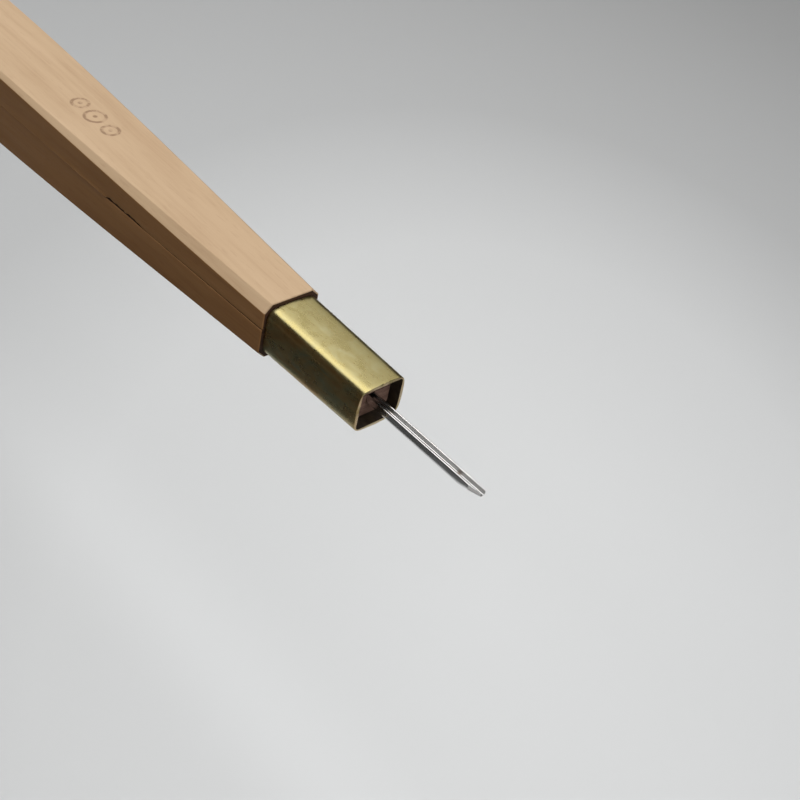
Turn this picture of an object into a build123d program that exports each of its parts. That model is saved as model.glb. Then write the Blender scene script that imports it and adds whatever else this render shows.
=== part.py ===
from build123d import *

import os

# Split-handle carving gouge: a slender U-shaped blade clamped between two wooden handle
# halves by a tapered brass ferrule.
#
# Millimetres. +X runs along the tool towards the cutting edge, +Z is up, and the origin is the
# centre of the flat butt face. The channel of the blade opens upwards.

# Handle, measured from the butt face
handle_length = 135.0        # butt face to the shoulder behind the ferrule
butt_chamfer = 1.2

# Distance from the butt, full width, height above the axis and edge chamfer of the handle
handle_stations = (
    (butt_chamfer, 16.3, 7.70, 0.95),
    (25.0, 17.1, 8.10, 0.80),
    (55.0, 16.4, 7.70, 0.80),
    (90.0, 14.6, 6.80, 1.10),
    (handle_length, 11.33, 5.33, 1.46),
)
# The underside is straight from the shoulder to here, then curves to the butt
straight_end = 50.0
underside_at_shoulder = 5.40
underside_rise = 0.0295      # per millimetre towards the shoulder
underside_belly = (25.0, 8.22)
underside_at_butt = 7.75

# Ferrule: a tapered rounded-rectangular sleeve, (width, height) over its outside
ferrule_length = 22.5
ferrule_front = (9.5, 8.3)
ferrule_back = (10.04, 9.2)
ferrule_corner = 1.5
ferrule_wall = 0.6

# Nose: the front of both halves, which fills the ferrule
nose_setback = 2.2           # nose end to the ferrule's front rim
nose_fit = 0.03              # clearance all round between nose and ferrule
shoulder_fit = 0.05          # clearance between shoulder and ferrule

# Seam between the halves: above the axis, and climbing slightly towards the butt
seam_at_nose = 0.62
seam_rise = 0.0074           # per millimetre towards the butt
seam_fit = 0.03
side_step = 0.15             # the upper half's -Y side lies this far inside the lower half's

# Open stretch of the seam, behind the part that the ferrule squeezes shut
gap_front = 104.0
gap_middle = 98.0
gap_back = 93.0
gap_height = 0.45

# Blade
blade_reach = 22.6           # beyond the ferrule's front rim
blade_width = 1.6
blade_height = 1.6
blade_top = 0.6
blade_sole_radius = 0.5
channel_width = 1.0
channel_depth = 0.7
channel_floor_radius = 0.38
channel_length = 70.0
channel_overrun = 1.0        # beyond the edge, so that the channel cuts through it
edge_thickness = 0.04
sole_bevel = 4.3             # length of the bevel under the edge
wall_bevel = 2.3             # length of the bevel on both sides of the edge
tang_start = 74.0
groove_fit = 0.03
groove_end_fit = 0.5

# Places that follow from the sizes above
ferrule_rim = handle_length + ferrule_length
nose_end = ferrule_rim - nose_setback
blade_tip = ferrule_rim + blade_reach
outside = 30.0               # a size larger than the handle's section


def section_plane(x):
    """Plane across the tool at x, with its own x axis along +Y and its own y axis along +Z."""
    return Plane((x, 0, 0), x_dir=(0, 1, 0), z_dir=(1, 0, 0))


def along_stations(sizes):
    """Curve at the given distances from the axis, from the butt's chamfer to the shoulder."""
    return Spline(*[(station[0], size) for station, size in zip(handle_stations, sizes)])


def swept_outline(left_edge, right_edge):
    """Solid between two edges, left of the axis and right of it, and deep across them."""
    butt_left, butt_right = (left_edge @ 0).Y - butt_chamfer, (right_edge @ 0).Y + butt_chamfer
    butt = Polyline(right_edge @ 0, (0, butt_right), (0, butt_left), left_edge @ 0)
    shoulder = Line(left_edge @ 1, right_edge @ 1)
    border = [*left_edge.edges(), shoulder, *right_edge.edges(), butt]
    return extrude(make_face(border), amount=outside, both=True)


def underside():
    """Lower edge of the side view: a curve from the butt that runs into a straight line."""
    line_start = (straight_end, -underside_at_shoulder - underside_rise * (handle_length - straight_end))
    line = Line(line_start, (handle_length, -underside_at_shoulder))
    belly = (underside_belly[0], -underside_belly[1])
    curve = Spline((butt_chamfer, -underside_at_butt), belly, line_start,
                   tangents=[(1, -underside_rise), (1, underside_rise)])
    return Wire([curve, line])


def handle_body(side_inset=0.0):
    """Octagonal handle: two swept outlines square to the tool and two on its diagonals.

    side_inset takes the -Y side in at the shoulder, fading out towards the butt.
    """
    half_width = [width / 2 for _, width, _, _ in handle_stations]
    right_side = [-half for half in half_width[:-1]] + [side_inset - half_width[-1]]
    height = [above for _, _, above, _ in handle_stations]
    diagonal = [(width / 2 + above - chamfer_size) / 2 ** 0.5
                for _, width, above, chamfer_size in handle_stations]
    body = swept_outline(along_stations(half_width), along_stations(right_side))
    body = body & Rot(90, 0, 0) * swept_outline(along_stations(height), underside())
    corners = swept_outline(along_stations(diagonal), along_stations([-size for size in diagonal]))
    for turn in (45, -45):
        body = body & Rot(turn, 0, 0) * corners
    return body


def sleeve_size(x, inset):
    """Width and height of the ferrule's outside at x, taken in by inset on every side."""
    share = (ferrule_rim - x) / ferrule_length
    return [front + (back - front) * share - 2 * inset
            for front, back in zip(ferrule_front, ferrule_back)]


def tapered_bar(x_from, x_to, inset):
    """Rounded-rectangular bar that follows the ferrule's taper."""
    ends = [section_plane(x) * RectangleRounded(*sleeve_size(x, inset), ferrule_corner - inset)
            for x in (x_from, x_to)]
    return loft(ends)


def seam_height(x, lift=0.0):
    return seam_at_nose + seam_rise * (nose_end - x) + lift


def side_solid(points):
    """Solid with the given outline in X and Z, wider than the handle."""
    return extrude(Plane.XZ * make_face(Polyline(*points, close=True)), amount=outside, both=True)


def below_seam():
    return side_solid([(-outside, -outside), (nose_end + outside, -outside),
                       (nose_end + outside, seam_height(nose_end + outside)),
                       (-outside, seam_height(-outside))])


def above_seam():
    """Everything over the seam, with the open stretch taken out of its underside."""
    return side_solid([
        (-outside, seam_height(-outside, seam_fit)),
        (gap_back, seam_height(gap_back, seam_fit)),
        (gap_back, seam_height(gap_back, gap_height)),
        (gap_middle, seam_height(gap_middle, gap_height)),
        (gap_front, seam_height(gap_front, seam_fit)),
        (nose_end + outside, seam_height(nose_end + outside, seam_fit)),
        (nose_end + outside, outside),
        (-outside, outside)])


def blade_section(x, width, height, radius):
    """Blade outline across the tool: flat on top, with rounded lower corners."""
    outline = Pos(0, blade_top - height / 2) * Rectangle(width, height)
    lower_corners = outline.vertices().group_by(Axis.Y)[0]
    return section_plane(x) * fillet(lower_corners, radius)


def blade():
    bevel_start = blade_tip - sole_bevel
    shank = extrude(blade_section(tang_start, blade_width, blade_height, blade_sole_radius),
                    amount=bevel_start - tang_start)
    lip_width = channel_width + 2 * edge_thickness
    lip_height = channel_depth + edge_thickness
    wall_start_height = lip_height + (blade_height - lip_height) * wall_bevel / sole_bevel
    bevel = loft([
        blade_section(bevel_start, blade_width, blade_height, blade_sole_radius),
        blade_section(blade_tip - wall_bevel, blade_width, wall_start_height, blade_sole_radius),
        blade_section(blade_tip, lip_width, lip_height, channel_floor_radius)], ruled=True)
    channel = extrude(blade_section(blade_tip - channel_length, channel_width, channel_depth,
                                    channel_floor_radius), amount=channel_length + channel_overrun)
    return shank + bevel - channel


def groove():
    """Room for the blade's tang, cut down from the seam."""
    length = nose_end + 1.0 - (tang_start - groove_end_fit)
    depth = blade_height + outside
    centre = (tang_start - groove_end_fit + length / 2, 0,
              blade_top - blade_height - groove_fit + depth / 2)
    return Pos(*centre) * Box(length, blade_width + 2 * groove_fit, depth)


nose = tapered_bar(handle_length - 1.0, nose_end, ferrule_wall + nose_fit)
ferrule_from = handle_length + shoulder_fit
ferrule = tapered_bar(ferrule_from, ferrule_rim, 0) - tapered_bar(ferrule_from, ferrule_rim, ferrule_wall)

pieces = {
    "handle_lower_half": ((handle_body() + nose) & below_seam()) - groove(),
    "handle_upper_half": (handle_body(side_step) + nose) & above_seam(),
    "ferrule": ferrule,
    "blade": blade(),
}

os.makedirs("parts", exist_ok=True)
for name, piece in pieces.items():
    export_step(piece, f"parts/{name}.step")
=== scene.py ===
import math

import bmesh
import bpy
import numpy as np
from mathutils import Matrix, Quaternion, Vector, noise
from mathutils.bvhtree import BVHTree


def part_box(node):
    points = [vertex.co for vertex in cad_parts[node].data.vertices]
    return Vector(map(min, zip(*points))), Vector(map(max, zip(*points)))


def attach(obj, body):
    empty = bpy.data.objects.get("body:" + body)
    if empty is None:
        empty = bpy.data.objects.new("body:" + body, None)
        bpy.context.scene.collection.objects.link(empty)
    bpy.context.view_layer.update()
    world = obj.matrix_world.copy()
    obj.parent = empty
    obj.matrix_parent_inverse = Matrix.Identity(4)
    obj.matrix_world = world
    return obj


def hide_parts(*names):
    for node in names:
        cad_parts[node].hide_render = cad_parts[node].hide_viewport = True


# Looks of the split-handle gouge: wood halves, brass ferrule and steel blade.
#
# Metres, in the CAD frame: +X runs towards the cutting edge and +Z is up.
# Each piece is a skin of cross-sections along X, whose sizes are measured on the CAD nodes.

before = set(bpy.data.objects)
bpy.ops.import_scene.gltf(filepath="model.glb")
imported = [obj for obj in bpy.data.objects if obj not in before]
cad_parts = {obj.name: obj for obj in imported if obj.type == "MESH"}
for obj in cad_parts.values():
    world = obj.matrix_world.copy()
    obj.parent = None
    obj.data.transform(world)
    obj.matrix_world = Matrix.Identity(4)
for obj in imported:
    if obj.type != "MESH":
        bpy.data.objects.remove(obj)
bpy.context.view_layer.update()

MM = 0.001
FAR = 50 * MM                      # from outside the part, for probing it

LOWER, UPPER, FERRULE, BLADE = "handle_lower_half", "handle_upper_half", "ferrule", "blade"

# Places along the tool, read from the frame
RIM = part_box(FERRULE)[1].x
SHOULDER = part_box(FERRULE)[0].x
NOSE_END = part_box(LOWER)[1].x
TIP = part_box(BLADE)[1].x
BLADE_LOW, BLADE_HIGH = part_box(BLADE)

ARC_STEPS = 5                      # points that round one corner
SAME_PLACE = 0.2e-6
SHARP_DEGREES = 38


# ---------------------------------------------------------------- measuring the CAD nodes

trees = {}


def probe(node, start, direction):
    """Point where a ray first meets a CAD node."""
    if node not in trees:
        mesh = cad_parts[node].data
        trees[node] = BVHTree.FromPolygons([v.co for v in mesh.vertices],
                                           [p.vertices[:] for p in mesh.polygons])
    hit = trees[node].ray_cast(Vector(start), Vector(direction).normalized())[0]
    if hit is None:
        raise RuntimeError(f"nothing of {node} from {start} along {direction}")
    return hit


def smooth_size(measure, x_from, x_to, degree):
    """Polynomial of x through sizes measured at evenly spaced stations."""
    stations = np.linspace(x_from, x_to, 3 * degree + 4)
    return np.poly1d(np.polyfit(stations, [measure(x) for x in stations], degree))


def seam_at(x):
    """Height of the lower half's seam face."""
    return probe(LOWER, (x, 2.2 * MM, FAR), (0, 0, -1)).z


# ---------------------------------------------------------------- building skins

def rounded_loop(corners, side_steps):
    """Closed loop of (y, z) points: each corner is (y, z, radius), each side is divided."""
    points, arcs = [], []
    count = len(corners)
    for i, (y, z, radius) in enumerate(corners):
        here = Vector((y, z))
        back = (Vector(corners[i - 1][:2]) - here)
        ahead = (Vector(corners[(i + 1) % count][:2]) - here)
        arcs.append(corner_arc(here, back, ahead, radius))
    for i, arc in enumerate(arcs):
        points += arc
        start, end = arc[-1], arcs[(i + 1) % count][0]
        points += [start.lerp(end, k / side_steps) for k in range(1, side_steps)]
    return points


def corner_arc(here, back, ahead, radius):
    """Points that round one corner. A corner of no radius, or no size, repeats its point."""
    if radius <= 0 or min(back.length, ahead.length) < SAME_PLACE / 2:
        return [here.copy() for _ in range(ARC_STEPS)]
    back_way, ahead_way = back.normalized(), ahead.normalized()
    opening = back_way.angle(ahead_way, math.pi)
    setback = min(radius / math.tan(opening / 2), 0.45 * back.length, 0.45 * ahead.length)
    first, last = here + back_way * setback, here + ahead_way * setback
    arc = []
    for k in range(ARC_STEPS):
        t = k / (ARC_STEPS - 1)
        arc.append(first * (1 - t) ** 2 + here * 2 * t * (1 - t) + last * t ** 2)
    return arc


def skin(name, loops, closed=False):
    """Mesh object through loops, each (x, [(y, z), ...]), capped at both ends unless closed."""
    bm = bmesh.new()
    rings = [[bm.verts.new((x, *point)) for point in points] for x, points in loops]
    count = len(rings[0])
    pairs = list(zip(rings, rings[1:] + rings[:1])) if closed else list(zip(rings, rings[1:]))
    for first, second in pairs:
        for i in range(count):
            j = (i + 1) % count
            bm.faces.new((first[i], first[j], second[j], second[i]))
    if not closed:
        bm.faces.new(list(reversed(rings[0])))
        bm.faces.new(rings[-1])
    bmesh.ops.remove_doubles(bm, verts=bm.verts, dist=SAME_PLACE)
    bmesh.ops.dissolve_degenerate(bm, edges=bm.edges, dist=SAME_PLACE)
    bmesh.ops.recalc_face_normals(bm, faces=bm.faces)
    mesh = bpy.data.meshes.new(name)
    bm.to_mesh(mesh)
    bm.free()
    piece = bpy.data.objects.new(name, mesh)
    bpy.context.scene.collection.objects.link(piece)
    mesh.polygons.foreach_set("use_smooth", [True] * len(mesh.polygons))
    mesh.set_sharp_from_angle(angle=math.radians(SHARP_DEGREES))
    return piece


def ripple(point, scale, seed):
    """Smooth noise from -1 to 1, the same each run. scale is in features per metre."""
    return noise.noise(Vector(point) * scale + Vector((seed, seed * 1.7, seed * 0.3)))


def worn(piece, depth, scale, seed, stretch=0.15):
    """Moves the surface in by up to depth, in smooth patches longer along the tool."""
    for vertex in piece.data.vertices:
        place = (vertex.co.x * stretch, vertex.co.y, vertex.co.z)
        vertex.co -= vertex.normal * depth * (0.5 + 0.5 * ripple(place, scale, seed))


# ---------------------------------------------------------------- wooden handle

HANDLE_START = 1.2 * MM            # where the butt's chamfer ends
EDGE_RADIUS = 0.30 * MM
SEAM_RADIUS = 0.12 * MM            # upper half
SEAM_STEP_RADIUS = 0.16 * MM       # lower half, whose edge catches the light
SEAM_TIGHT_RADIUS = 0.02 * MM      # behind the open stretch
SHOULDER_ROUND = 0.22 * MM
NOSE_CORNER = 0.80 * MM
GROOVE_HALF = 0.83 * MM
GROOVE_FLOOR = BLADE_LOW.z - 0.03 * MM
GROOVE_START = BLADE_LOW.x - 0.5 * MM
PROBE_SIDE_Z = -2.5 * MM
HANDLE_FIT = 6
GAP = (93 * MM, 104 * MM)          # the open stretch of the seam
GAP_HEIGHT = 0.45 * MM
SEAM_FIT = 0.03 * MM
SHOULDER_FIT = 0.05 * MM
WOOD_WEAR = 0.05 * MM


def handle_sizes():
    """The handle's sizes from its axis, by side, as functions of x."""
    rays = {
        "left": (LOWER, (FAR, PROBE_SIDE_Z), (-1, 0)),
        "right": (LOWER, (-FAR, PROBE_SIDE_Z), (1, 0)),
        "right_above": (UPPER, (-FAR, -PROBE_SIDE_Z), (1, 0)),
        "top": (UPPER, (0, FAR), (0, -1)),
        "bottom": (LOWER, (0, -FAR), (0, 1)),
        "corner_above": (UPPER, (FAR, FAR), (-1, -1)),
        "corner_below": (LOWER, (FAR, -FAR), (-1, 1)),
    }
    end = SHOULDER - 0.3 * MM

    def reach(x, node, start, way):
        hit = probe(node, (x, *start), (0, *way))
        return abs(hit.y) if way[1] == 0 else abs(hit.z) if way[0] == 0 else hit.yz.length

    return {side: smooth_size(lambda x, ray=ray: reach(x, *ray), HANDLE_START, end, HANDLE_FIT)
            for side, ray in rays.items()}


def nose_sizes():
    """Half width and half height of the nose as functions of x."""
    start, end = SHOULDER + 1 * MM, NOSE_END - 0.5 * MM
    half_width = smooth_size(lambda x: probe(LOWER, (x, FAR, PROBE_SIDE_Z), (0, -1, 0)).y, start, end, 1)
    half_height = smooth_size(lambda x: -probe(LOWER, (x, 2 * MM, -FAR), (0, 0, 1)).z, start, end, 1)
    return half_width, half_height


handle_size = handle_sizes()
nose_width_at, nose_height_at = nose_sizes()
seam_low = smooth_size(seam_at, 2 * MM, SHOULDER - 1 * MM, 1)


def handle_outline(x, inset, upper):
    """Sizes of one half's section: left, right, height, chamfer and edge radius."""
    left, right = handle_size["left"](x), handle_size["right_above" if upper else "right"](x)
    height = handle_size["top" if upper else "bottom"](x)
    diagonal = handle_size["corner_above" if upper else "corner_below"](x)
    chamfer = left + height - diagonal * math.sqrt(2) - 0.6 * inset
    return left - inset, right - inset, height - inset, chamfer, EDGE_RADIUS


def nose_outline(x, inset):
    half_width, half_height = nose_width_at(x) - inset, nose_height_at(x) - inset
    return half_width, half_width, half_height, NOSE_CORNER, NOSE_CORNER


def upper_corners(outline, seam, seam_round):
    """Corners of the upper half, from its seam on the -Y side over the top."""
    left, right, height, chamfer, edge = outline
    return [(-right, seam, seam_round), (-right, height - chamfer, edge),
            (-right + chamfer, height, edge), (left - chamfer, height, edge),
            (left, height - chamfer, edge), (left, seam, seam_round)]


def lower_corners(outline, seam, groove_floor, seam_round):
    """Corners of the lower half, from its seam on the +Y side under the handle and the groove."""
    left, right, height, chamfer, edge = outline
    floor = min(groove_floor, seam)
    return [(left, seam, seam_round), (left, -height + chamfer, edge),
            (left - chamfer, -height, edge), (-right + chamfer, -height, edge),
            (-right, -height + chamfer, edge), (-right, seam, seam_round),
            (-GROOVE_HALF, seam, 0), (-GROOVE_HALF, floor, 0),
            (GROOVE_HALF, floor, 0), (GROOVE_HALF, seam, 0)]


def spaced(start, end, step):
    count = max(2, int(round((end - start) / step)) + 1)
    return list(np.linspace(start, end, count))


def handle_stations():
    """(x, inset, part) from the butt to the nose's end, close together where the shape turns."""
    rounding = [(0.0, 1.0), (0.04, 0.9), (0.15, 0.72), (1.0, 0.1), (1.25, 0.0)]
    stations = [(share * HANDLE_START, inset * HANDLE_START, "handle") for share, inset in rounding]
    body = spaced(2.5 * MM, GAP[0] - 0.5 * MM, 1.5 * MM) + spaced(GAP[0], GAP[1], 0.2 * MM)
    body += spaced(GAP[1] + 0.6 * MM, SHOULDER - 0.4 * MM, 0.8 * MM)
    groove_cut = [GROOVE_START - 0.01 * MM, GROOVE_START + 0.01 * MM]
    body = sorted(body + groove_cut)
    stations += [(x, 0.0, "handle") for x in body]
    for share in (0.0, 0.5, 0.87, 1.0):
        x = SHOULDER - SHOULDER_ROUND - SHOULDER_FIT + share * SHOULDER_ROUND
        inset = SHOULDER_ROUND * (1 - math.sqrt(max(0.0, 1 - share ** 2)))
        stations.append((x, inset, "handle"))
    stations.append((SHOULDER - SHOULDER_FIT, 0.0, "nose"))
    stations += [(x, 0.0, "nose") for x in spaced(SHOULDER + 0.3 * MM, NOSE_END - 0.15 * MM, 1.2 * MM)]
    stations += [(NOSE_END - 0.04 * MM, 0.04 * MM, "nose"), (NOSE_END, 0.12 * MM, "nose")]
    return stations


def gap_lift(x):
    """How far the upper half stands off the seam at x: an uneven slot with a break in it."""
    low, high = GAP
    if not low <= x <= high:
        return 0.0
    share = (x - low) / (high - low)
    shape = min(1.0, share * 9) * min(1.0, (1 - share) * 4)
    ragged = 0.75 + 0.45 * ripple((x, 0, 0), 900, 3.1)
    bridge = 1 - 0.75 * math.exp(-((share - 0.52) / 0.035) ** 2)
    return GAP_HEIGHT * max(0.0, min(1.0, shape * ragged * bridge))


def outline_at(x, inset, part, upper):
    return nose_outline(x, inset) if part == "nose" else handle_outline(x, inset, upper)


def handle_half(name, upper):
    loops = []
    for x, inset, part in handle_stations():
        outline = outline_at(x, inset, part, upper)
        if upper:
            seam = seam_low(x) + SEAM_FIT + gap_lift(x)
            corners = upper_corners(outline, seam, SEAM_RADIUS if x > GAP[0] else SEAM_TIGHT_RADIUS)
        else:
            floor = GROOVE_FLOOR if x > GROOVE_START else 1.0
            seam_round = SEAM_STEP_RADIUS * (1 + 0.4 * ripple((x, 0, 0), 400, 9.0))
            seam_round = seam_round if x > GAP[0] else SEAM_TIGHT_RADIUS
            corners = lower_corners(outline, seam_low(x), floor, seam_round)
        loops.append((x, rounded_loop(corners, 5)))
    piece = skin(name, loops)
    worn(piece, WOOD_WEAR, 180, 2.0 if upper else 7.0)
    return piece


# ---------------------------------------------------------------- brass ferrule

FERRULE_CORNER = 1.40 * MM
CROWN = 0.28 * MM
RIM_ROUND = 0.10 * MM
RIM_WAVE = 0.05 * MM
NICK_REACH = 1.2 * MM              # how far behind the rim its dents fade out
BRASS_WEAR = 0.035 * MM
# Angle round the axis, width of that angle and depth in mm of each dent in the front rim
NICKS = ((1.62, 0.05, 0.16), (1.2, 0.09, 0.08), (2.35, 0.08, 0.10), (-0.6, 0.10, 0.10), (3.0, 0.12, 0.07))


def ferrule_sizes():
    """Half width, half height and wall of the ferrule as functions of x."""
    low, high = SHOULDER + 1 * MM, RIM - 1 * MM
    half_width = smooth_size(lambda x: probe(FERRULE, (x, FAR, 0), (0, -1, 0)).y, low, high, 1)
    half_height = smooth_size(lambda x: probe(FERRULE, (x, 0, FAR), (0, 0, -1)).z, low, high, 1)
    wall = half_width(high) - probe(FERRULE, (high, 0, 0), (0, 1, 0)).y
    return half_width, half_height, wall


def sleeve_loop(half_width, half_height, radius, crown):
    corners = [(half_width, half_height, radius), (-half_width, half_height, radius),
               (-half_width, -half_height, radius), (half_width, -half_height, radius)]
    points = rounded_loop(corners, 9)
    for point in points:
        point.y -= math.copysign(crown * (point.x / half_width) ** 2, point.y)
        point.x -= math.copysign(crown * (point.y / half_height) ** 2, point.x)
    return points


def rim_nick(point):
    """Depth of the small dents in the front rim at a place round the ferrule."""
    angle = math.atan2(point[1], point[0])
    return sum(depth * MM * math.exp(-((angle - where) / width) ** 2) for where, width, depth in NICKS)


def ferrule_skin():
    half_width, half_height, wall = ferrule_sizes()
    outer, inner = [], []
    for x in spaced(SHOULDER + RIM_ROUND, RIM - RIM_ROUND, 0.75 * MM):
        outer.append((x, sleeve_loop(half_width(x), half_height(x), FERRULE_CORNER, CROWN)))
        inner.append((x, sleeve_loop(half_width(x) - wall, half_height(x) - wall,
                                     FERRULE_CORNER - wall, 0.0)))
    ends = ((-1, outer[0][0]), (1, outer[-1][0]))
    back, front = [], []
    for share in (0.3, 0.7, 1.0):
        turn = share * math.pi / 2
        out = RIM_ROUND * math.sin(turn)
        inset = RIM_ROUND * (1 - math.cos(turn))
        for (sign, x), group in zip(ends, (back, front)):
            at = x + sign * out
            group.append((at, sleeve_loop(half_width(at) - inset, half_height(at) - inset,
                                          FERRULE_CORNER, CROWN)))
            group.append((at, sleeve_loop(half_width(at) - wall + inset, half_height(at) - wall + inset,
                                          FERRULE_CORNER - wall, 0.0)))
    back_outer, back_inner = back[0::2], back[1::2]
    front_outer, front_inner = front[0::2], front[1::2]
    rings = (list(reversed(back_outer)) + outer + front_outer
             + list(reversed(front_inner)) + list(reversed(inner)) + back_inner)
    piece = skin(FERRULE + "_sleeve", rings, closed=True)
    for vertex in piece.data.vertices:
        near_rim = max(0.0, 1 - (RIM - vertex.co.x) / NICK_REACH)
        wave = RIM_WAVE * (1 + ripple((0, vertex.co.y, vertex.co.z), 330, 5.0))
        vertex.co.x -= near_rim ** 2 * (rim_nick((vertex.co.y, vertex.co.z)) + wave)
    for vertex in piece.data.vertices:
        outward = vertex.normal.y * vertex.co.y + vertex.normal.z * vertex.co.z
        if outward > 0:
            vertex.co -= vertex.normal * BRASS_WEAR * (1 + ripple(vertex.co, 260, 4.0))
    return piece


# ---------------------------------------------------------------- steel blade

CHANNEL_HALF = 0.50 * MM
CHANNEL_DEPTH = 0.70 * MM
CHANNEL_CORNER = 0.36 * MM
CHANNEL_LENGTH = 70 * MM
CHANNEL_RUN_OUT = 6 * MM
SOLE_CORNER = 0.50 * MM
SOLE_BEVEL = 4.3 * MM
WALL_BEVEL = 2.3 * MM
EDGE = 0.02 * MM
RIM_SOFT = 0.10 * MM


def blade_loop(x):
    """Section of the blade at x, with its channel and the bevel that runs out at the edge."""
    half = BLADE_HIGH.y
    depth = BLADE_HIGH.z - BLADE_LOW.z
    top = BLADE_HIGH.z
    from_tip = TIP - x
    outer_half = half + (CHANNEL_HALF + EDGE - half) * max(0.0, 1 - from_tip / WALL_BEVEL)
    outer_depth = depth + (CHANNEL_DEPTH + EDGE - depth) * max(0.0, 1 - from_tip / SOLE_BEVEL)
    channel = CHANNEL_DEPTH * min(1.0, max(0.0, (CHANNEL_LENGTH - from_tip) / CHANNEL_RUN_OUT))
    lip = min(RIM_SOFT, 0.3 * (outer_half - CHANNEL_HALF))
    corners = [(outer_half, top, lip), (outer_half, top - outer_depth, SOLE_CORNER),
               (-outer_half, top - outer_depth, SOLE_CORNER), (-outer_half, top, lip),
               (-CHANNEL_HALF, top, lip), (-CHANNEL_HALF, top - channel, min(CHANNEL_CORNER, channel)),
               (CHANNEL_HALF, top - channel, min(CHANNEL_CORNER, channel)), (CHANNEL_HALF, top, lip)]
    return rounded_loop(corners, 4)


def blade_skin():
    stations = spaced(BLADE_LOW.x, TIP - CHANNEL_LENGTH - 1 * MM, 2 * MM)
    stations += spaced(TIP - CHANNEL_LENGTH, TIP - 26 * MM, 1 * MM)
    stations += spaced(TIP - 25.5 * MM, TIP - SOLE_BEVEL - 0.2 * MM, 0.5 * MM)
    stations += spaced(TIP - SOLE_BEVEL, TIP, 0.12 * MM)
    return skin(BLADE + "_gouge", [(x, blade_loop(x)) for x in stations])


# ---------------------------------------------------------------- materials

class Nodes:
    """Short names for building a node tree."""

    def __init__(self, name):
        self.material = bpy.data.materials.new(name)
        self.material.use_nodes = True
        self.tree = self.material.node_tree
        self.tree.nodes.clear()
        self.shader = self.add("ShaderNodeBsdfPrincipled")
        output = self.add("ShaderNodeOutputMaterial")
        self.tree.links.new(self.shader.outputs["BSDF"], output.inputs["Surface"])
        self.place = self.add("ShaderNodeTexCoord").outputs["Object"]

    def add(self, kind, **settings):
        node = self.tree.nodes.new(kind)
        for key, value in settings.items():
            setattr(node, key, value)
        return node

    def link(self, source, target):
        self.tree.links.new(source, target)

    def put(self, socket, value):
        if isinstance(value, bpy.types.NodeSocket):
            self.link(value, socket)
        else:
            socket.default_value = value

    def scaled(self, scale, shift=(0, 0, 0)):
        mapping = self.add("ShaderNodeMapping")
        self.link(self.place, mapping.inputs["Vector"])
        mapping.inputs["Scale"].default_value = scale
        mapping.inputs["Location"].default_value = shift
        return mapping.outputs["Vector"]

    def noise(self, scale, detail=4.0, roughness=0.55, shift=(0, 0, 0), distortion=0.0):
        node = self.add("ShaderNodeTexNoise")
        self.link(self.scaled(scale, shift), node.inputs["Vector"])
        node.inputs["Scale"].default_value = 1.0
        node.inputs["Detail"].default_value = detail
        node.inputs["Roughness"].default_value = roughness
        node.inputs["Distortion"].default_value = distortion
        return node.outputs["Fac"]

    def ramp(self, value, stops):
        node = self.add("ShaderNodeValToRGB")
        self.put(node.inputs["Fac"], value)
        elements = node.color_ramp.elements
        while len(elements) < len(stops):
            elements.new(0.5)
        for element, (position, colour) in zip(elements, stops):
            element.position = position
            element.color = (*colour, 1.0)
        return node.outputs["Color"]

    def span(self, value, low, high, out_low=0.0, out_high=1.0):
        node = self.add("ShaderNodeMapRange", interpolation_type="SMOOTHSTEP")
        self.put(node.inputs["Value"], value)
        for key, number in (("From Min", low), ("From Max", high),
                            ("To Min", out_low), ("To Max", out_high)):
            node.inputs[key].default_value = number
        return node.outputs["Result"]

    def maths(self, operation, *values):
        node = self.add("ShaderNodeMath", operation=operation)
        for socket, value in zip(node.inputs, values):
            self.put(socket, value)
        return node.outputs["Value"]

    def mix(self, share, first, second, blend="MIX"):
        node = self.add("ShaderNodeMix", data_type="RGBA", blend_type=blend)
        self.put(node.inputs["Factor"], share)
        for socket, value in ((node.inputs[6], first), (node.inputs[7], second)):
            self.put(socket, (*value, 1.0) if isinstance(value, tuple) else value)
        return node.outputs[2]

    def axes(self):
        node = self.add("ShaderNodeSeparateXYZ")
        self.link(self.place, node.inputs["Vector"])
        return node.outputs["X"], node.outputs["Y"], node.outputs["Z"]

    def bump(self, height, distance, strength=1.0, under=None):
        node = self.add("ShaderNodeBump")
        node.inputs["Strength"].default_value = strength
        node.inputs["Distance"].default_value = distance
        self.link(height, node.inputs["Height"])
        if under is not None:
            self.link(under, node.inputs["Normal"])
        return node.outputs["Normal"]

    def finish(self, colour, roughness, normal, **constants):
        self.put(self.shader.inputs["Base Color"], colour)
        self.put(self.shader.inputs["Roughness"], roughness)
        self.put(self.shader.inputs["Normal"], normal)
        for key, value in constants.items():
            self.shader.inputs[key.replace("_", " ")].default_value = value
        return self.material


# Colours of the long grain: pale, usual, dark and pore. The side set is the top's grain painted darker and
# browner: painted shade on the sides.
TOP_GRAIN = ((0.470, 0.335, 0.212), (0.430, 0.302, 0.184), (0.350, 0.228, 0.130), (0.260, 0.155, 0.085))
SHADED_SIDE_GRAIN = ((0.300, 0.158, 0.066), (0.240, 0.120, 0.046), (0.190, 0.090, 0.032), (0.125, 0.056, 0.020))
STAMP_COLOUR = (0.20, 0.115, 0.065)
STAMP_X = 78 * MM
STAMP_RING = 1.9 * MM
STAMP_SPACING = 2.6                # in ring radii


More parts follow.
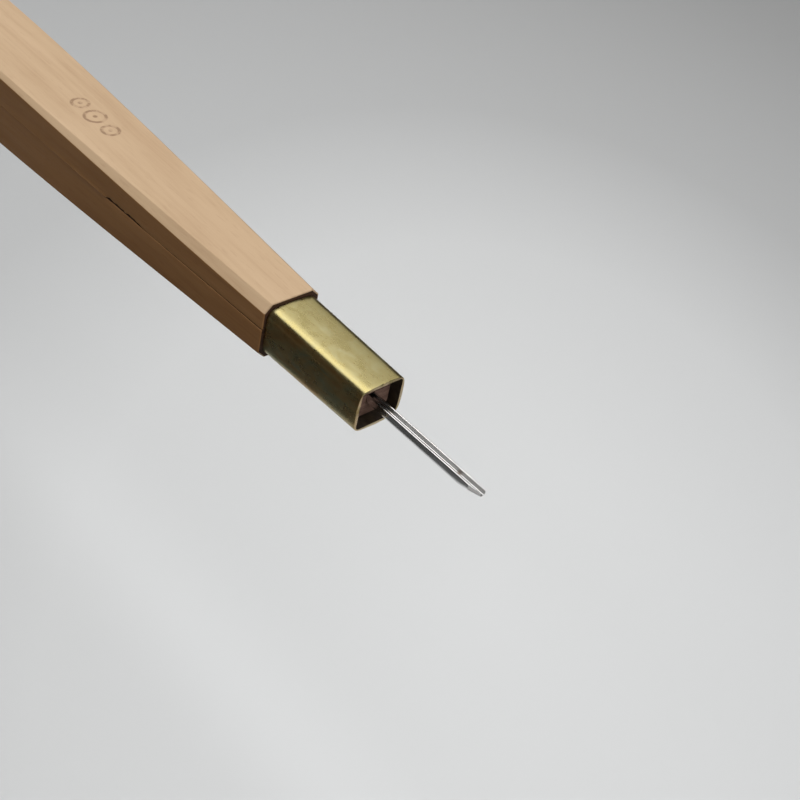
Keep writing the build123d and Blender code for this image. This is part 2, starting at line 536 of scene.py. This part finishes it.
def stamp_mask(n):
    """Small faded mark of three concentric-ring dots in a row on the top face."""
    x, y, z = n.axes()
    masks = []
    for k, radius in ((-1, 0.8), (0, 1.0), (1, 0.8)):
        dx = n.maths("SUBTRACT", x, STAMP_X + k * STAMP_SPACING * STAMP_RING)
        distance = n.maths("SQRT", n.maths("ADD", n.maths("POWER", dx, 2.0), n.maths("POWER", y, 2.0)))
        ring = n.maths("ABSOLUTE", n.maths("SUBTRACT", distance, STAMP_RING * radius))
        masks.append(n.span(ring, 0.15 * MM, 0.45 * MM, 1.0, 0.0))
        masks.append(n.span(distance, 0.25 * MM, 0.6 * MM, 1.0, 0.0))
    mask = masks[0]
    for other in masks[1:]:
        mask = n.maths("MAXIMUM", mask, other)
    top = n.span(z, 4 * MM, 5 * MM)
    faded = n.span(n.noise((900, 900, 900), 3.0), 0.35, 0.6, 0.15, 0.8)
    return n.maths("MULTIPLY", n.maths("MULTIPLY", mask, top), faded)


def wood_long(name, shift, stamped, colours):
    """Straight, fine long grain on the handle's planed faces."""
    n = Nodes(name)
    pale, usual, dark, pore = colours
    broad = n.noise((22, 210, 210), 3.0, 0.5, shift, 0.3)
    fibre = n.noise((70, 2600, 2600), 5.0, 0.65, shift)
    streak = n.noise((30, 800, 800), 4.0, 0.6, shift)
    flecks = n.noise((260, 2400, 2400), 2.0, 0.5, shift)
    colour = n.ramp(broad, [(0.15, dark), (0.42, usual), (0.75, pale)])
    colour = n.mix(n.span(streak, 0.45, 0.72, 0.0, 0.38), colour, dark)
    colour = n.mix(n.span(fibre, 0.35, 0.70, 0.0, 0.45), colour, pale)
    colour = n.mix(n.span(flecks, 0.58, 0.72, 0.0, 0.16), colour, pore)
    if stamped:
        colour = n.mix(stamp_mask(n), colour, STAMP_COLOUR)
    height = n.maths("ADD", fibre, n.maths("MULTIPLY", streak, 0.6))
    normal = n.bump(height, 0.02 * MM, 0.45)
    roughness = n.span(fibre, 0.3, 0.7, 0.50, 0.64)
    return n.finish(colour, roughness, normal, Specular_IOR_Level=0.20)


def wood_end(name, shift, dark, pale):
    """End grain: rings and pores across the tool."""
    n = Nodes(name)
    rings = n.noise((120, 160, 900), 2.0, 0.5, shift, 0.8)
    pores = n.noise((3000, 3000, 3000), 2.0, 0.6, shift)
    colour = n.ramp(rings, [(0.35, dark), (0.60, pale)])
    colour = n.mix(n.span(pores, 0.52, 0.66, 0.0, 0.35), colour, tuple(0.5 * c for c in dark))
    return n.finish(colour, 0.75, n.bump(pores, 0.03 * MM, 0.5), Specular_IOR_Level=0.25)


def brass():
    n = Nodes("aged_brass")
    x, y, z = n.axes()
    cloud = n.noise((260, 420, 420), 5.0, 0.62, (0.3, 0.1, 0.7), 0.4)
    spots = n.noise((1300, 1500, 1500), 3.0, 0.6, (2.0, 0.0, 1.0))
    drawn = n.noise((60, 5200, 5200), 3.0, 0.6)
    side = n.span(n.maths("ABSOLUTE", y), 4.0 * MM, 4.4 * MM)
    colour = n.ramp(cloud, [(0.30, (0.315, 0.262, 0.104)), (0.50, (0.342, 0.290, 0.130)),
                            (0.70, (0.368, 0.334, 0.180))])
    spotted = n.maths("SUBTRACT", n.span(spots, 0.58, 0.74, 0.0, 0.24), side)
    colour = n.mix(n.maths("MAXIMUM", spotted, 0.0), colour, (0.200, 0.150, 0.070))
    # Painted shade: the brass is painted darker towards its +Y side, away from the highlight strip.
    colour = n.mix(n.span(y, 0.5 * MM, 4.6 * MM, 0.0, 0.55), colour, (0.235, 0.195, 0.062))
    colour = n.mix(n.span(drawn, 0.45, 0.75, 0.0, 0.18), colour, (0.45, 0.39, 0.22))
    tarnish = n.noise((150, 330, 330), 3.0, 0.6, (4.0, 2.0, 0.5), 0.5)
    stained = n.ramp(tarnish, [(0.36, (0.380, 0.215, 0.075)), (0.50, (0.370, 0.270, 0.115)),
                               (0.64, (0.290, 0.285, 0.165))])
    colour = n.mix(n.maths("MULTIPLY", side, 0.8), colour, stained)
    # Painted highlight: the front rim is painted paler than the rest of the brass, as lit from the front.
    rim = n.span(x, RIM - 0.16 * MM, RIM - 0.04 * MM)
    colour = n.mix(n.maths("MULTIPLY", rim, 0.7), colour, (0.62, 0.46, 0.30))
    roughness = n.span(cloud, 0.3, 0.7, 0.24, 0.36)
    normal = n.bump(drawn, 0.004 * MM, 0.35)
    normal = n.bump(cloud, 0.05 * MM, 0.22, normal)
    return n.finish(colour, roughness, normal, Metallic=1.0)


def shaded_brass_inside():
    """Rough, unpolished wall inside the ferrule, its near-black colour painted shade in the recess."""
    n = Nodes("shaded_brass_inside")
    cloud = n.noise((500, 700, 700), 3.0, 0.6)
    colour = n.ramp(cloud, [(0.35, (0.016, 0.010, 0.006)), (0.70, (0.050, 0.034, 0.018))])
    return n.finish(colour, 0.7, n.bump(cloud, 0.03 * MM, 0.3), Metallic=0.4)


def steel():
    """Polished bar with fine lengthwise lines, painted darker inside the channel as shade, with one small
    stain.
    """
    n = Nodes("polished_steel")
    x, y, z = n.axes()
    ground = n.noise((90, 9000, 9000), 4.0, 0.6)
    cloud = n.noise((500, 900, 900), 3.0, 0.5)
    colour = n.ramp(cloud, [(0.3, (0.62, 0.62, 0.62)), (0.7, (0.78, 0.78, 0.775))])
    depth = n.span(z, BLADE_HIGH.z - 0.10 * MM, BLADE_HIGH.z - 0.30 * MM)
    between = n.span(n.maths("ABSOLUTE", y), CHANNEL_HALF + 0.05 * MM, CHANNEL_HALF - 0.02 * MM)
    channel = n.maths("MULTIPLY", depth, between)
    # Painted shade: the channel's hollow is painted darker.
    colour = n.mix(n.maths("MULTIPLY", channel, 0.5), colour, (0.36, 0.36, 0.35))
    along = n.span(n.maths("ABSOLUTE", n.maths("SUBTRACT", x, TIP - 5.2 * MM)), 0.1 * MM, 0.6 * MM, 1.0, 0.0)
    far_wall = n.span(y, -0.2 * MM, 0.1 * MM)
    stain = n.maths("MULTIPLY", n.maths("MULTIPLY", along, far_wall), channel)
    colour = n.mix(n.maths("MULTIPLY", stain, 0.8), colour, (0.16, 0.11, 0.075))
    roughness = n.span(ground, 0.3, 0.7, 0.14, 0.26)
    return n.finish(colour, roughness, n.bump(ground, 0.001 * MM, 0.25), Metallic=1.0)


def ground_steel_painted_reflection():
    """Matt bevel, ground across the edge; its nearly white, mostly diffuse colour is partly painted
    reflection.
    """
    n = Nodes("ground_steel_painted_reflection")
    lines = n.noise((4000, 300, 300), 3.0, 0.6)
    colour = n.ramp(lines, [(0.3, (0.80, 0.80, 0.80)), (0.7, (0.94, 0.94, 0.94))])
    return n.finish(colour, 0.45, n.bump(lines, 0.004 * MM, 0.4), Metallic=0.1)


def paint_wood(piece, upper, materials):
    """Gives each face of a half its grain.

    materials are the planed top, the sides (a darker copy of the grain: painted shade), the shoulder
    (near-black: painted shade, also in the open seam gap), the nose's end and the butt's end.
    """
    for material in materials:
        piece.data.materials.append(material)
    for face in piece.data.polygons:
        face.material_index = wood_face_kind(face.center, face.normal, upper)


def wood_face_kind(centre, normal, upper):
    at_shoulder = abs(centre.x - SHOULDER) < 0.5 * MM
    # Index 2 is near-black painted shade, where the shoulder's end grain meets the ferrule.
    if abs(normal.x) > (0.98 if at_shoulder else 0.75):
        return 2 if at_shoulder else 3 if centre.x > SHOULDER else 4
    if abs(centre.z - seam_low(centre.x)) < GAP_HEIGHT + SEAM_STEP_RADIUS:
        inner = -0.3 if upper else -0.9
        facing = normal.z if upper else -normal.z
        # Faces inside the open stretch of the seam get the same near-black painted shade.
        return 2 if facing < inner and centre.x > GAP[0] else 1
    # Side faces take material 1, the grain darkened as painted shade.
    return 1 if abs(normal.y) > 1.6 * abs(normal.z) else 0


def paint_inside_shade(sleeve):
    """Gives the faces that look at the tool's axis the near-black painted shade of the recess."""
    sleeve.data.materials.append(shaded_brass_inside())
    for face in sleeve.data.polygons:
        if face.normal.yz.dot(face.center.yz) < 0 and abs(face.normal.x) < 0.5:
            face.material_index = 1


def paint_bevel(bar):
    """Gives the outside of the bevel its ground finish with painted reflection."""
    bar.data.materials.append(ground_steel_painted_reflection())
    for face in bar.data.polygons:
        outside = face.normal.yz.dot(face.center.yz - Vector((0, BLADE_HIGH.z))) > 0
        if outside and face.center.x > TIP - WALL_BEVEL and face.center.z < BLADE_HIGH.z - RIM_SOFT:
            face.material_index = 1


# ---------------------------------------------------------------- pieces

def build_pieces():
    # The shoulder's end grain is near-black: painted shade where the wood meets the ferrule.
    ends = (wood_end("wood_shoulder_painted_shade", (0.2, 0.4, 0.1), (0.030, 0.014, 0.007), (0.060, 0.028, 0.014)),
            wood_end("nose_end", (0.5, 0.1, 0.3), (0.180, 0.105, 0.080), (0.270, 0.168, 0.128)),
            wood_end("butt_end", (0.8, 0.3, 0.6), (0.270, 0.165, 0.090), (0.370, 0.240, 0.140)))
    halves = ((LOWER, False, "handle", (0.9, 0.35, 0.6)), (UPPER, True, "upper_half", (0.1, 0.7, 0.25)))
    for node, upper, body, shift in halves:
        piece = handle_half(node + "_wood", upper)
        top = wood_long(node + "_grain", shift, upper, TOP_GRAIN)
        side = wood_long(node + "_side_grain_painted_shade", shift, False, SHADED_SIDE_GRAIN)
        paint_wood(piece, upper, (top, side, *ends))
        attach(piece, body)
        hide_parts(node)
    for node, piece, material, paint_more, wanted in (
            (FERRULE, ferrule_skin(), brass(), paint_inside_shade, "ferrule_brass"),
            (BLADE, blade_skin(), steel(), paint_bevel, "blade_steel")):
        piece.data.materials.append(material)
        paint_more(piece)
        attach(piece, node)
        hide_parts(node)


# ---------------------------------------------------------------- camera, floor and light

AIM_FROM_RIM = Vector((0.80, 3.47, 0.0)) * MM
CAMERA_AZIMUTH, CAMERA_ELEVATION, CAMERA_ROLL = 38.91, 39.85, 13.80
CAMERA_DISTANCE = 202.1 * MM
CAMERA_LENS = 59.26
FLOOR_DROP = 150 * MM
FLOOR_HALF = 3.0
FLOOR_PAINTED_LIGHT_CENTRE = (-38 * MM, 111 * MM)
FLOOR_PAINTED_LIGHT_FALLOFF = (330 * MM, 220 * MM)
FLOOR_PAINT = 0.66
CARD_CENTRE = (-165 * MM, -400 * MM)     # dark card on the floor, seen only in the metal
CARD_RADII = (170 * MM, 355 * MM)
CARD_LIFT = 2 * MM


def add_camera():
    azimuth, elevation = math.radians(CAMERA_AZIMUTH), math.radians(CAMERA_ELEVATION)
    back = Vector((math.sin(azimuth) * math.cos(elevation), -math.cos(azimuth) * math.cos(elevation),
                   math.sin(elevation)))
    data = bpy.data.cameras.new("camera")
    data.lens = CAMERA_LENS
    data.clip_start, data.clip_end = 10 * MM, 10.0
    camera = bpy.data.objects.new("camera", data)
    camera.location = Vector((RIM, 0, 0)) + AIM_FROM_RIM + back * CAMERA_DISTANCE
    camera.rotation_mode = "QUATERNION"
    roll = Quaternion(back, math.radians(CAMERA_ROLL))
    camera.rotation_quaternion = roll @ (-back).to_track_quat("-Z", "Y")
    bpy.context.scene.collection.objects.link(camera)
    bpy.context.scene.camera = camera


def floor_paint():
    """Light grey sheet with a painted pool of light, brightest below the tool."""
    n = Nodes("floor")
    mapping = n.add("ShaderNodeMapping", vector_type="TEXTURE")
    n.link(n.place, mapping.inputs["Vector"])
    mapping.inputs["Location"].default_value = (*FLOOR_PAINTED_LIGHT_CENTRE, 0)
    mapping.inputs["Rotation"].default_value = (0, 0, math.radians(90 + CAMERA_AZIMUTH))
    mapping.inputs["Scale"].default_value = (*FLOOR_PAINTED_LIGHT_FALLOFF, 1)
    length = n.add("ShaderNodeVectorMath", operation="LENGTH")
    n.link(mapping.outputs["Vector"], length.inputs[0])
    # Painted pool of light: the paint fades from 1.03 to 0.68 of FLOOR_PAINT away from its centre.
    colour = n.ramp(n.maths("MULTIPLY", length.outputs["Value"], 0.5),
                    [(share, tuple(FLOOR_PAINT * level * tint for tint in (0.98, 1.0, 1.01)))
                     for share, level in ((0.0, 1.03), (0.27, 0.94), (0.44, 0.74), (0.75, 0.68))])
    n.put(n.shader.inputs["Base Color"], colour)
    n.shader.inputs["Roughness"].default_value = 0.9
    return n.material


def staged_sheet(name, bm, place, material):
    """Object of the backdrop made from bm, with one material."""
    mesh = bpy.data.meshes.new(name)
    bm.to_mesh(mesh)
    bm.free()
    sheet = bpy.data.objects.new(name, mesh)
    sheet.location = place
    bpy.context.scene.collection.objects.link(sheet)
    sheet.data.materials.append(material)
    return sheet


def add_floor():
    bm = bmesh.new()
    bmesh.ops.create_grid(bm, x_segments=8, y_segments=8, size=FLOOR_HALF)
    floor = staged_sheet("floor", bm, (RIM, 0, -FLOOR_DROP), floor_paint())
    floor.visible_diffuse = False


def add_card():
    """Oval dark card that darkens what the metal's -Y side mirrors."""
    bm = bmesh.new()
    bmesh.ops.create_circle(bm, cap_ends=True, segments=96, radius=1.0,
                            matrix=Matrix.Diagonal((*CARD_RADII, 1.0, 1.0)))
    n = Nodes("dark_card")
    n.shader.inputs["Base Color"].default_value = (0.05, 0.05, 0.05, 1.0)
    n.shader.inputs["Roughness"].default_value = 1.0
    place = (RIM + CARD_CENTRE[0], CARD_CENTRE[1], CARD_LIFT - FLOOR_DROP)
    card = staged_sheet("card", bm, place, n.material)
    card.visible_camera = card.visible_diffuse = card.visible_shadow = False


def add_light(name, place, aim, size, power):
    """Rectangular light with its long side along X."""
    data = bpy.data.lights.new(name, "AREA")
    data.shape = "RECTANGLE"
    data.size, data.size_y = size
    data.energy = power
    light = bpy.data.objects.new(name, data)
    light.location = place
    back = (Vector(place) - Vector(aim)).normalized()
    side = (Vector((1, 0, 0)) - back * back.x).normalized()
    light.rotation_mode = "QUATERNION"
    light.rotation_quaternion = Matrix((side, back.cross(side), back)).transposed().to_quaternion()
    bpy.context.scene.collection.objects.link(light)
    return light


def add_lights():
    aim = (RIM, 0, 0)
    overhead = (RIM - 0.15, 0.12, 0.60)
    add_light("softbox_overhead", overhead, (overhead[0], overhead[1], 0), (1.20, 0.40), 4.4)
    add_light("softbox_back", (RIM - 0.45, 0.60, 0.60), aim, (0.80, 0.60), 1.45)
    add_light("softbox_end", (RIM + 0.45, -0.05, 0.30), aim, (0.40, 0.40), 1.0)
    add_light("fill_side", (RIM - 0.10, -0.30, 0.50), aim, (1.20, 0.30), 2.3).visible_glossy = False
    world = bpy.data.worlds.new("studio")
    world.use_nodes = True
    background = world.node_tree.nodes["Background"]
    background.inputs["Color"].default_value = (1.0, 0.90, 0.80, 1)
    background.inputs["Strength"].default_value = 0.09
    bpy.context.scene.world = world
    bpy.context.scene.view_settings.view_transform = "Standard"


build_pieces()
add_camera()
add_floor()
add_card()
add_lights()
